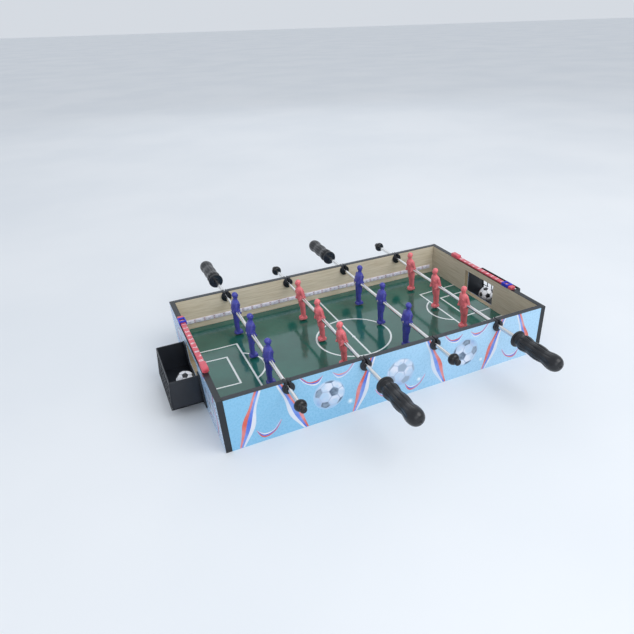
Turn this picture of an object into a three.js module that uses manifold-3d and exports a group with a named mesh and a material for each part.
// Tabletop foosball table: an open box with a raised playing field, four sliding and spinning rods
// with three players each, a goal box with a net panel at each end, a score rail on each end panel,
// and light strips with a battery box under the field.
//
// Units are millimetres. X runs along the table, Y across it (the rods lie along Y), Z is up.
// The origin is the centre of the table's footprint, on the surface that it stands on.

import * as THREE from "three";
import { mergeVertices } from "three/addons/utils/BufferGeometryUtils.js";
import Module from "manifold-3d";

const wasm = await Module();
wasm.setup();

// ---------------------------------------------------------------- driving dimensions

const LENGTH = 510;
const WIDTH = 310;
const HEIGHT = 80;
const BOARD = 8;
const GAP = 0.3;

const FIELD_TOP = 27;
const FIELD_THICKNESS = 3;
const BATTEN_WIDTH = 8;
const BATTEN_HEIGHT = 8;
const BATTEN_LENGTH = 460;

const ROD_SPACING = 109.4;
const ROD_RADIUS = 3;
const ROD_WALL = 0.7;
const ROD_Z = 71.5;
const ROD_REST_SLIDE = [7, 1, 4, 10];
const ROD_BORE_RADIUS = 3.3;
const ROD_SIDES = 12;

const SLOT_HALF_WIDTH = 5.3;
const BUSHING_CORE_RADIUS = 5;
const BUSHING_FLANGE_RADIUS = 8.5;
const BUSHING_FLANGE = 2.4;
const BUSHING_HUB_RADIUS = 5.6;
const BUSHING_HUB = 1.4;
const BUSHING_SLIT = 3;
const BUSHING_SIDES = 16;

const PLAYER_SPACING = 82;
const HEAD_RADIUS = 4.8;
const HEAD_X = 3;
const HEAD_Z = 25.2;
const PLAYER_BORE_REACH = 20;

const GRIP_SIDES = 14;
const HANDLE_START = 208.5;
const HANDLE_BORE_DEPTH = 58;
const CAP_START = 200.5;
const CAP_BORE_DEPTH = 7;

const MOUTH_HALF_WIDTH = 40;
const MOUTH_BOTTOM = 28;
const MOUTH_TOP = 69.5;

const GOAL_HALF_WIDTH = 52.5;
const GOAL_BOTTOM = 15;
const GOAL_RIM = 59;
const GOAL_WALL = 2;
const GOAL_DEPTH_TOP = 41;
const GOAL_DEPTH_BOTTOM = 46;
const FLANGE_FOOT_HALF_WIDTH = 63;
const FLANGE_RIM_HALF_WIDTH = 54.5;
const FLANGE_BOTTOM = 10;

const NET_WALL = 1.2;
const NET_HOLE_WIDTH = 11;
const NET_HOLE_HEIGHT = 8.7;
const NET_COLUMN_PITCH = 12.5;
const NET_ROW_PITCH = 10.1;
const NET_COLUMNS = 8;
const NET_ROWS = 4;
const NET_FIRST_ROW = 5.4;

const BALL_RADIUS = 13.3;
const BALL_X = 270.8;
const BALL_REST_Y = { left: -8.8, right: 5 };

const RAIL_HALF_LENGTH = 85;
const RAIL_INSET = 1;
const RAIL_HEAD_WIDTH = 7.6;
const RAIL_STEM_WIDTH = 5;
const RAIL_STEM_HEIGHT = 1.5;
const RAIL_HEAD_HEIGHT = 2.2;
const STOP_HEIGHT = 7.5;
const STOP_WIDTH = 9.2;
const STOP_LENGTH = 20;
const END_LIP_LENGTH = 8;
const END_LIP_HEIGHT = 5.2;
const SLIDER_LENGTH = 15;
const SLIDER_WIDTH = 11.2;
const SLIDER_TOP = 6.2;
const SLIDER_WINDOW = 7.4;

const LIGHT_HEIGHT = 7;
const LIGHT_DEPTH = 2.2;
const LIGHT_LENGTH = 480;
const LIGHT_Z = 40;

const BATTERY_BOX_X = -190;
const BATTERY_BOX_LENGTH = 56;
const BATTERY_BOX_WIDTH = 39;
const BATTERY_BOX_HEIGHT = 16;
const BATTERY_BOX_WALL = 1.6;
const CELL_RADIUS = 5.2;
const CELL_LENGTH = 44;
const SWITCH_SLOT_LENGTH = 8;
const SWITCH_SLOT_HEIGHT = 3;
const SWITCH_DROP = 5.5;
const SWITCH_TRAVEL = 3;

const innerLength = LENGTH - 2 * BOARD;
const innerWidth = WIDTH - 2 * BOARD;
const endPanelX = (LENGTH - BOARD) / 2;
const longPanelY = (WIDTH - BOARD) / 2;
const fieldBottom = FIELD_TOP - FIELD_THICKNESS;

// ---------------------------------------------------------------- materials

function finish(color, roughness, metalness = 0) {
  return new THREE.MeshStandardMaterial({ color, roughness, metalness });
}

const finishes = {
  panel: finish(0x86c4ea, 0.35),
  field: finish(0x1f5a49, 0.15),
  batten: finish(0xcaa671, 0.7),
  steel: finish(0xc9ccd0, 0.25, 1),
  blackPlastic: finish(0x17181b, 0.4),
  bluePlayer: finish(0x3a35a8, 0.4),
  redPlayer: finish(0xdf4a55, 0.4),
  ball: finish(0xf1f1f3, 0.45),
  redRail: finish(0xd23a45, 0.4),
  blueSlider: finish(0x2e33c8, 0.35),
  lightStrip: finish(0xe8e4f6, 0.4),
  cell: finish(0x8c9096, 0.35, 0.6),
};

// ---------------------------------------------------------------- shape helpers

const table = new THREE.Group();

function addPart(name, geometry, material, parent = table) {
  const mesh = new THREE.Mesh(geometry, material);
  mesh.name = name;
  parent.add(mesh);
  return mesh;
}

// A box between two corners.
function block(low, high) {
  const size = high.map((value, axis) => value - low[axis]);
  const centre = high.map((value, axis) => (value + low[axis]) / 2);
  return new THREE.BoxGeometry(...size).translate(...centre);
}

// A rectangular outline between two corners.
function rectangle(low, high) {
  const path = new THREE.Shape();
  path.moveTo(low[0], low[1]);
  path.lineTo(high[0], low[1]);
  path.lineTo(high[0], high[1]);
  path.lineTo(low[0], high[1]);
  path.closePath();
  return path;
}

// An outline drawn in (X, Z), given thickness along +Y from y = 0.
function alongY(shape, depth, curveSegments = 4) {
  const geometry = new THREE.ExtrudeGeometry(shape, { depth, bevelEnabled: false, curveSegments });
  return geometry.rotateX(Math.PI / 2).translate(0, depth, 0);
}

// An outline drawn in (Y, Z), given thickness along +X from x = 0.
function alongX(shape, depth) {
  const geometry = new THREE.ExtrudeGeometry(shape, { depth, bevelEnabled: false });
  return geometry.rotateY(Math.PI / 2).rotateX(Math.PI / 2);
}

// A body turned about Y from a profile of [radius, y] points.
function turnedAboutY(profile, segments) {
  const points = profile.map(([radius, y]) => new THREE.Vector2(radius, y));
  return new THREE.LatheGeometry(points, segments);
}

function cylinderAlongY(radius, start, end, segments) {
  const length = end - start;
  const cylinder = new THREE.CylinderGeometry(radius, radius, length, segments);
  return cylinder.translate(0, start + length / 2, 0);
}

// Rings of points, each a rounded rectangle, joined into one closed skin.
// A section is { z, x, halfX, halfY }: its height, its centre and its half sizes.
function loft(sections, points = 8) {
  const positions = [];
  const index = [];
  for (const { z, x = 0, halfX, halfY } of sections) {
    for (let i = 0; i < points; i++) {
      const angle = ((i + 0.5) / points) * 2 * Math.PI;
      const squareness = 0.7;
      const cos = Math.cos(angle);
      const sin = Math.sin(angle);
      positions.push(
        x + halfX * Math.sign(cos) * Math.abs(cos) ** squareness,
        halfY * Math.sign(sin) * Math.abs(sin) ** squareness,
        z,
      );
    }
  }
  for (let ring = 0; ring + 1 < sections.length; ring++) {
    for (let i = 0; i < points; i++) {
      const a = ring * points + i;
      const b = ring * points + ((i + 1) % points);
      index.push(a, b, b + points, a, b + points, a + points);
    }
  }
  const last = (sections.length - 1) * points;
  for (let i = 1; i + 1 < points; i++) {
    index.push(0, i + 1, i);
    index.push(last, last + i, last + i + 1);
  }
  const geometry = new THREE.BufferGeometry();
  geometry.setAttribute("position", new THREE.Float32BufferAttribute(positions, 3));
  geometry.setIndex(index);
  return geometry;
}

// three.js geometry to a manifold solid, and back.
function solid(geometry) {
  const bare = new THREE.BufferGeometry();
  bare.setAttribute("position", geometry.getAttribute("position"));
  if (geometry.index) {
    bare.setIndex(geometry.index);
  }
  const merged = mergeVertices(bare, 1e-4);
  return new wasm.Manifold(
    new wasm.Mesh({
      numProp: 3,
      vertProperties: new Float32Array(merged.getAttribute("position").array),
      triVerts: new Uint32Array(merged.index.array),
    }),
  );
}

function geometryOf(manifold) {
  const mesh = manifold.getMesh();
  const geometry = new THREE.BufferGeometry();
  geometry.setAttribute("position", new THREE.Float32BufferAttribute(mesh.vertProperties, 3));
  geometry.setIndex(Array.from(mesh.triVerts));
  geometry.computeVertexNormals();
  return geometry;
}

function joined(...geometries) {
  return geometries.map(solid).reduce((whole, piece) => whole.add(piece));
}

function mirroredX(geometry) {
  return geometry.clone().rotateZ(Math.PI);
}

// ---------------------------------------------------------------- cabinet

const rodX = [-1.5, -0.5, 0.5, 1.5].map((step) => step * ROD_SPACING);

function longPanel() {
  const half = innerLength / 2 - GAP;
  const outline = new THREE.Shape();
  outline.moveTo(-half, 0);
  outline.lineTo(half, 0);
  outline.lineTo(half, HEIGHT);
  for (const x of [...rodX].reverse()) {
    outline.lineTo(x + SLOT_HALF_WIDTH, HEIGHT);
    outline.lineTo(x + SLOT_HALF_WIDTH, ROD_Z);
    outline.absarc(x, ROD_Z, SLOT_HALF_WIDTH, 0, Math.PI, true);
    outline.lineTo(x - SLOT_HALF_WIDTH, HEIGHT);
  }
  outline.lineTo(-half, HEIGHT);
  outline.closePath();
  return alongY(outline, BOARD).translate(0, -BOARD / 2, 0);
}

function endPanel() {
  const outline = rectangle([-WIDTH / 2, 0], [WIDTH / 2, HEIGHT]);
  outline.holes.push(rectangle([-MOUTH_HALF_WIDTH, MOUTH_BOTTOM], [MOUTH_HALF_WIDTH, MOUTH_TOP]));
  return alongX(outline, BOARD).translate(-BOARD / 2, 0, 0);
}

function fieldBoard() {
  const x = innerLength / 2 - GAP;
  const y = innerWidth / 2 - GAP;
  return block([-x, -y, fieldBottom], [x, y, FIELD_TOP]);
}

addPart("front_panel", longPanel(), finishes.panel).position.y = -longPanelY;
addPart("back_panel", longPanel(), finishes.panel).position.y = longPanelY;
addPart("left_end_panel", endPanel(), finishes.panel).position.x = -endPanelX;
addPart("right_end_panel", endPanel(), finishes.panel).position.x = endPanelX;
addPart("field_board", fieldBoard(), finishes.field);

for (const [side, direction] of [["front", -1], ["back", 1]]) {
  const batten = new THREE.BoxGeometry(BATTEN_LENGTH, BATTEN_WIDTH, BATTEN_HEIGHT);
  addPart(`${side}_batten`, batten, finishes.batten).position.set(
    0,
    direction * (innerWidth / 2 - GAP - BATTEN_WIDTH / 2),
    fieldBottom - GAP - BATTEN_HEIGHT / 2,
  );
}

// ---------------------------------------------------------------- rod bushings

// A spool that drops into a panel's slot. Its top is slit so that it snaps over the tube.
// Local origin on the rod's axis at the middle of the panel; local +Y points out of the table.
function bushing() {
  const reach = BOARD / 2 + GAP;
  const core = new THREE.Shape();
  core.moveTo(-BUSHING_CORE_RADIUS, HEIGHT - ROD_Z);
  core.lineTo(-BUSHING_CORE_RADIUS, 0);
  core.absarc(0, 0, BUSHING_CORE_RADIUS, Math.PI, 2 * Math.PI, false);
  core.lineTo(BUSHING_CORE_RADIUS, HEIGHT - ROD_Z);
  core.closePath();
  const overlap = 0.2;
  const flange = reach + BUSHING_FLANGE;
  const hub = flange + BUSHING_HUB;
  let body = solid(alongY(core, 2 * (reach + overlap)).translate(0, -reach - overlap, 0));
  for (const side of [-1, 1]) {
    const disc = cylinderAlongY(BUSHING_FLANGE_RADIUS, reach, flange, BUSHING_SIDES);
    const boss = cylinderAlongY(BUSHING_HUB_RADIUS, reach, hub, ROD_SIDES);
    if (side < 0) {
      disc.rotateZ(Math.PI);
      boss.rotateZ(Math.PI);
    }
    body = body.add(solid(disc)).add(solid(boss));
  }
  const bore = cylinderAlongY(ROD_BORE_RADIUS, -2 * hub, 2 * hub, ROD_SIDES);
  const slit = block(
    [-BUSHING_SLIT / 2, -2 * hub, 0],
    [BUSHING_SLIT / 2, 2 * hub, 2 * BUSHING_FLANGE_RADIUS],
  );
  return geometryOf(body.subtract(solid(bore)).subtract(solid(slit)));
}

const bushingGeometry = bushing();
rodX.forEach((x, rod) => {
  for (const [side, direction] of [["front", -1], ["back", 1]]) {
    const name = `bushing_${rod + 1}_${side}`;
    const spool = addPart(name, bushingGeometry, finishes.blackPlastic);
    spool.position.set(x, direction * longPanelY, ROD_Z);
  }
});

// ---------------------------------------------------------------- rods, players, handles and caps

function rodTube() {
  const start = -(CAP_START + CAP_BORE_DEPTH - GAP);
  const end = HANDLE_START + HANDLE_BORE_DEPTH - GAP;
  const inner = ROD_RADIUS - ROD_WALL;
  const ring = [[inner, start], [ROD_RADIUS, start], [ROD_RADIUS, end], [inner, end], [inner, start]];
  return turnedAboutY(ring, ROD_SIDES);
}

// A moulded player hanging from the tube, with its face towards local +X.
// Local origin on the rod's axis; the feet hang down.
function player() {
  const body = loft([
    { z: -36.5, x: -1.9, halfX: 4, halfY: 5.4 },
    { z: -28, x: -1.5, halfX: 3.9, halfY: 5.7 },
    { z: -15, x: -0.7, halfX: 4.4, halfY: 6.4 },
    { z: -8, x: -0.2, halfX: 5.7, halfY: 8.2 },
    { z: 0, x: 0.2, halfX: 7.2, halfY: 12 },
    { z: 6, x: 0.5, halfX: 7.2, halfY: 12 },
    { z: 13, x: 1.2, halfX: 6, halfY: 10.2 },
    { z: 17.5, x: 1.9, halfX: 3.8, halfY: 6.4 },
    { z: 20.5, x: 2.5, halfX: 3.2, halfY: 3.3 },
  ]);
  const foot = loft([
    { z: -41.5, x: -0.6, halfX: 7, halfY: 5.6 },
    { z: -36.5, x: -0.9, halfX: 6.4, halfY: 5.4 },
    { z: -34, x: -1.8, halfX: 4, halfY: 4.6 },
  ]);
  const head = new THREE.SphereGeometry(HEAD_RADIUS, 8, 6);
  head.rotateX(Math.PI / 2).translate(HEAD_X, 0, HEAD_Z);
  const bore = cylinderAlongY(ROD_BORE_RADIUS, -PLAYER_BORE_REACH, PLAYER_BORE_REACH, ROD_SIDES);
  return geometryOf(joined(body, foot, head).subtract(solid(bore)));
}

// A finger grip: a flange by the table, three swells and a round end.
function handle() {
  const profile = [
    [0, 0],
    [11, 0],
    [12.3, 1.2],
    [12.3, 3],
    [9, 5],
    [8.5, 10.8],
    [10.6, 12.6],
    [11.5, 17],
    [10, 29],
    [11, 43],
    [10, 57],
    [11.4, 69],
    [11, 76.5],
    [8.2, 82.6],
    [4.2, 85.2],
    [0, 85.7],
  ];
  const bore = cylinderAlongY(ROD_BORE_RADIUS, -1, HANDLE_BORE_DEPTH, ROD_SIDES);
  return geometryOf(solid(turnedAboutY(profile, GRIP_SIDES)).subtract(solid(bore)));
}

// A round bulb with a short nose, its open face towards the table at y = 0.
function endCap() {
  const profile = [
    [0, 0],
    [6.2, 0],
    [8, 1.8],
    [8.3, 4.6],
    [7.6, 7.2],
    [5.4, 9.4],
    [3.8, 10.2],
    [3.8, 11],
    [4.6, 11.6],
    [4.6, 15],
    [3.4, 16.3],
    [0, 16.5],
  ];
  const bore = cylinderAlongY(ROD_BORE_RADIUS, -1, CAP_BORE_DEPTH, ROD_SIDES);
  return geometryOf(solid(turnedAboutY(profile, GRIP_SIDES)).subtract(solid(bore)));
}

const tubeGeometry = rodTube();
const playerGeometry = player();
const handleGeometry = handle();
const capGeometry = endCap();

// Rods 1 and 3 carry the blue team and have their handles at the back. Rods 2 and 4 are turned
// half round: the red team faces the other way, and its handles are at the front.
rodX.forEach((x, rod) => {
  const number = rod + 1;
  const blue = rod % 2 === 0;
  const group = new THREE.Group();
  group.position.set(x, ROD_REST_SLIDE[rod], ROD_Z);
  group.rotation.z = blue ? 0 : Math.PI;
  table.add(group);

  addPart(`rod_${number}`, tubeGeometry, finishes.steel, group);
  addPart(`handle_${number}`, handleGeometry, finishes.blackPlastic, group).position.y = HANDLE_START;
  const cap = addPart(`end_cap_${number}`, capGeometry, finishes.blackPlastic, group);
  cap.position.y = -CAP_START;
  cap.rotation.z = Math.PI;
  for (const [place, step] of [["a", 1], ["b", 0], ["c", -1]]) {
    const name = `player_${number}${place}`;
    const material = blue ? finishes.bluePlayer : finishes.redPlayer;
    addPart(name, playerGeometry, material, group).position.y = step * PLAYER_SPACING;
  }
});

// ---------------------------------------------------------------- goal boxes, nets and balls

const flangeX = LENGTH / 2 + GAP;
const netInset = NET_WALL + GAP;

// The tray outside an end panel, open on top and on its outer side. Drawn for the +X end.
function goalTray() {
  const flange = new THREE.Shape();
  flange.moveTo(-FLANGE_FOOT_HALF_WIDTH, FLANGE_BOTTOM);
  flange.lineTo(FLANGE_FOOT_HALF_WIDTH, FLANGE_BOTTOM);
  flange.lineTo(FLANGE_RIM_HALF_WIDTH, GOAL_RIM);
  flange.lineTo(MOUTH_HALF_WIDTH, GOAL_RIM);
  flange.lineTo(MOUTH_HALF_WIDTH, MOUTH_BOTTOM);
  flange.lineTo(-MOUTH_HALF_WIDTH, MOUTH_BOTTOM);
  flange.lineTo(-MOUTH_HALF_WIDTH, GOAL_RIM);
  flange.lineTo(-FLANGE_RIM_HALF_WIDTH, GOAL_RIM);
  flange.closePath();
  const plate = solid(alongX(flange, GOAL_WALL).translate(flangeX, 0, 0));

  const side = new THREE.Shape();
  const near = flangeX + GOAL_WALL / 2;
  side.moveTo(near, GOAL_BOTTOM);
  side.lineTo(flangeX + GOAL_DEPTH_BOTTOM - netInset, GOAL_BOTTOM);
  side.lineTo(flangeX + GOAL_DEPTH_TOP - netInset, GOAL_RIM);
  side.lineTo(near, GOAL_RIM);
  side.closePath();
  const left = solid(alongY(side, GOAL_WALL).translate(0, -GOAL_HALF_WIDTH, 0));
  const right = solid(alongY(side, GOAL_WALL).translate(0, GOAL_HALF_WIDTH - GOAL_WALL, 0));
  const floor = block(
    [near, -GOAL_HALF_WIDTH, GOAL_BOTTOM],
    [flangeX + GOAL_DEPTH_BOTTOM - netInset - 0.5, GOAL_HALF_WIDTH, GOAL_BOTTOM + GOAL_WALL],
  );
  return geometryOf(plate.add(left).add(right).add(solid(floor)));
}

// The lattice that closes the outer side of the tray, leaning out towards its foot.
function netPanel() {
  const lean = Math.atan2(GOAL_DEPTH_BOTTOM - GOAL_DEPTH_TOP, GOAL_RIM - GOAL_BOTTOM);
  const height = (GOAL_RIM - GOAL_BOTTOM) / Math.cos(lean);
  let panel = solid(block([-NET_WALL, -GOAL_HALF_WIDTH, 0], [0, GOAL_HALF_WIDTH, height]));
  const halfY = NET_HOLE_WIDTH / 2;
  const halfZ = NET_HOLE_HEIGHT / 2;
  for (let row = 0; row < NET_ROWS; row++) {
    for (let column = 0; column < NET_COLUMNS; column++) {
      const y = (column - (NET_COLUMNS - 1) / 2) * NET_COLUMN_PITCH;
      const z = NET_FIRST_ROW + row * NET_ROW_PITCH;
      const hole = block([-2 * NET_WALL, y - halfY, z - halfZ], [NET_WALL, y + halfY, z + halfZ]);
      panel = panel.subtract(solid(hole));
    }
  }
  return geometryOf(panel).rotateY(-lean).translate(flangeX + GOAL_DEPTH_BOTTOM, 0, GOAL_BOTTOM);
}

const trayGeometry = goalTray();
const netGeometry = netPanel();
const ballGeometry = new THREE.IcosahedronGeometry(BALL_RADIUS, 2);
for (const side of ["left", "right"]) {
  const isLeft = side === "left";
  addPart(`goal_box_${side}`, isLeft ? mirroredX(trayGeometry) : trayGeometry, finishes.blackPlastic);
  addPart(`goal_net_${side}`, isLeft ? mirroredX(netGeometry) : netGeometry, finishes.blackPlastic);
  addPart(`ball_${side}`, ballGeometry, finishes.ball).position.set(
    isLeft ? -BALL_X : BALL_X,
    BALL_REST_Y[side],
    GOAL_BOTTOM + GOAL_WALL + BALL_RADIUS + GAP,
  );
}

// ---------------------------------------------------------------- score rails and sliders

// A T-shaped rail along Y, with a tall stop block at -Y and a low lip at +Y.
// Local origin on the panel's top edge, under the middle of the rail.
function scoreRail() {
  const headBottom = GAP + RAIL_STEM_HEIGHT;
  const headTop = headBottom + RAIL_HEAD_HEIGHT;
  const stem = block(
    [-RAIL_STEM_WIDTH / 2, -RAIL_HALF_LENGTH, GAP],
    [RAIL_STEM_WIDTH / 2, RAIL_HALF_LENGTH, headBottom + 0.1],
  );
  const head = block(
    [-RAIL_HEAD_WIDTH / 2, -RAIL_HALF_LENGTH, headBottom],
    [RAIL_HEAD_WIDTH / 2, RAIL_HALF_LENGTH, headTop],
  );
  const stop = block(
    [-STOP_WIDTH / 2, -RAIL_HALF_LENGTH, GAP],
    [STOP_WIDTH / 2, -RAIL_HALF_LENGTH + STOP_LENGTH, STOP_HEIGHT],
  );
  const lip = block(
    [-STOP_WIDTH / 2, RAIL_HALF_LENGTH - END_LIP_LENGTH, GAP],
    [STOP_WIDTH / 2, RAIL_HALF_LENGTH, END_LIP_HEIGHT],
  );
  return geometryOf(joined(stem, head, stop, lip));
}

// A frame that hooks under both sides of the rail's head, with a square window on top.
function scoreSlider() {
  const start = RAIL_HALF_LENGTH - END_LIP_LENGTH - GAP - SLIDER_LENGTH;
  const end = start + SLIDER_LENGTH;
  const headBottom = GAP + RAIL_STEM_HEIGHT;
  const headTop = headBottom + RAIL_HEAD_HEIGHT;
  const hookBottom = 2 * GAP;
  const shell = block([-SLIDER_WIDTH / 2, start, hookBottom], [SLIDER_WIDTH / 2, end, SLIDER_TOP]);
  const stemChannel = block(
    [-RAIL_STEM_WIDTH / 2 - GAP, start - 1, -1],
    [RAIL_STEM_WIDTH / 2 + GAP, end + 1, headBottom],
  );
  const headChannel = block(
    [-RAIL_HEAD_WIDTH / 2 - GAP, start - 1, headBottom - GAP],
    [RAIL_HEAD_WIDTH / 2 + GAP, end + 1, headTop + GAP],
  );
  const middle = (start + end) / 2;
  const window = block(
    [-SLIDER_WINDOW / 2, middle - SLIDER_WINDOW / 2, 0],
    [SLIDER_WINDOW / 2, middle + SLIDER_WINDOW / 2, SLIDER_TOP + 1],
  );
  return geometryOf(
    solid(shell).subtract(solid(stemChannel)).subtract(solid(headChannel)).subtract(solid(window)),
  );
}

const railGeometry = scoreRail();
const sliderGeometry = scoreSlider();
for (const side of ["left", "right"]) {
  const group = new THREE.Group();
  const railX = endPanelX - RAIL_INSET;
  group.position.set(side === "left" ? -railX : railX, 0, HEIGHT);
  group.rotation.z = side === "left" ? 0 : Math.PI;
  table.add(group);
  addPart(`score_rail_${side}`, railGeometry, finishes.redRail, group);
  addPart(`score_slider_${side}`, sliderGeometry, finishes.blueSlider, group);
}

// ---------------------------------------------------------------- lights and battery box

for (const [side, direction] of [["front", -1], ["back", 1]]) {
  const strip = new THREE.BoxGeometry(LIGHT_LENGTH, LIGHT_DEPTH, LIGHT_HEIGHT);
  addPart(`light_strip_${side}`, strip, finishes.lightStrip).position.set(
    0,
    direction * (innerWidth / 2 - GAP - LIGHT_DEPTH / 2),
    LIGHT_Z,
  );
}

const boxTop = fieldBottom - GAP;
const boxBottom = boxTop - BATTERY_BOX_HEIGHT;
const boxLow = [BATTERY_BOX_X - BATTERY_BOX_LENGTH / 2, -BATTERY_BOX_WIDTH / 2, boxBottom];
const boxHigh = [BATTERY_BOX_X + BATTERY_BOX_LENGTH / 2, BATTERY_BOX_WIDTH / 2, boxTop];
const switchZ = boxTop - SWITCH_DROP;

// A case open at the bottom, with grooves for a cover that slides out along +X,
// and a slot for the switch in the wall that faces +Y.
function batteryBox() {
  const wall = BATTERY_BOX_WALL;
  const coverTop = boxBottom + 2 * wall;
  const cavity = block(
    [boxLow[0] + wall, boxLow[1] + wall, coverTop - 0.1],
    [boxHigh[0] - wall, boxHigh[1] - wall, boxTop - wall],
  );
  const mouth = block(
    [boxLow[0] + wall, boxLow[1] + 2 * wall, boxBottom - 1],
    [boxHigh[0] + 1, boxHigh[1] - 2 * wall, coverTop],
  );
  const groove = block(
    [boxLow[0] + wall, boxLow[1] + wall, boxBottom + wall - 0.4],
    [boxHigh[0] + 1, boxHigh[1] - wall, coverTop],
  );
  const slot = block(
    [BATTERY_BOX_X - SWITCH_SLOT_LENGTH / 2, boxHigh[1] - 2 * wall, switchZ - SWITCH_SLOT_HEIGHT / 2],
    [BATTERY_BOX_X + SWITCH_SLOT_LENGTH / 2, boxHigh[1] + 1, switchZ + SWITCH_SLOT_HEIGHT / 2],
  );
  return geometryOf(
    solid(block(boxLow, boxHigh))
      .subtract(solid(cavity))
      .subtract(solid(mouth))
      .subtract(solid(groove))
      .subtract(solid(slot)),
  );
}

function batteryCover() {
  const wall = BATTERY_BOX_WALL;
  const panel = block(
    [boxLow[0] + wall + GAP, boxLow[1] + wall + GAP, boxBottom + wall - 0.1],
    [boxHigh[0] - GAP, boxHigh[1] - wall - GAP, boxBottom + 2 * wall - GAP - 0.1],
  );
  const face = block(
    [boxLow[0] + wall + GAP, boxLow[1] + 2 * wall + GAP, boxBottom],
    [boxHigh[0] - GAP, boxHigh[1] - 2 * wall - GAP, boxBottom + wall + 0.2],
  );
  return geometryOf(joined(panel, face));
}

addPart("battery_box", batteryBox(), finishes.blackPlastic);
addPart("battery_cover", batteryCover(), finishes.blackPlastic);

// A slide switch: a thumb outside the wall, on a stem through the slot. It rests at the slot's
// -X end and slides towards +X.
const switchX = BATTERY_BOX_X - SWITCH_TRAVEL / 2;
const thumbHalf = { length: 1.7, height: 2.1 };
const stemHalf = { length: 1.4, height: SWITCH_SLOT_HEIGHT / 2 - GAP };
const thumbReach = 2.2;
const thumb = block(
  [switchX - thumbHalf.length, boxHigh[1] + GAP, switchZ - thumbHalf.height],
  [switchX + thumbHalf.length, boxHigh[1] + thumbReach, switchZ + thumbHalf.height],
);
const stem = block(
  [switchX - stemHalf.length, boxHigh[1] - BATTERY_BOX_WALL, switchZ - stemHalf.height],
  [switchX + stemHalf.length, boxHigh[1] + 2 * GAP, switchZ + stemHalf.height],
);
addPart("light_switch", geometryOf(joined(thumb, stem)), finishes.ball);

const cellZ = boxTop - BATTERY_BOX_WALL - GAP - CELL_RADIUS;
for (let cell = 0; cell < 3; cell++) {
  const body = new THREE.CylinderGeometry(CELL_RADIUS, CELL_RADIUS, CELL_LENGTH, ROD_SIDES);
  body.rotateZ(Math.PI / 2);
  addPart(`cell_${cell + 1}`, body, finishes.cell).position.set(
    BATTERY_BOX_X,
    (cell - 1) * (2 * CELL_RADIUS + 2 * GAP),
    cellZ,
  );
}

export default table;
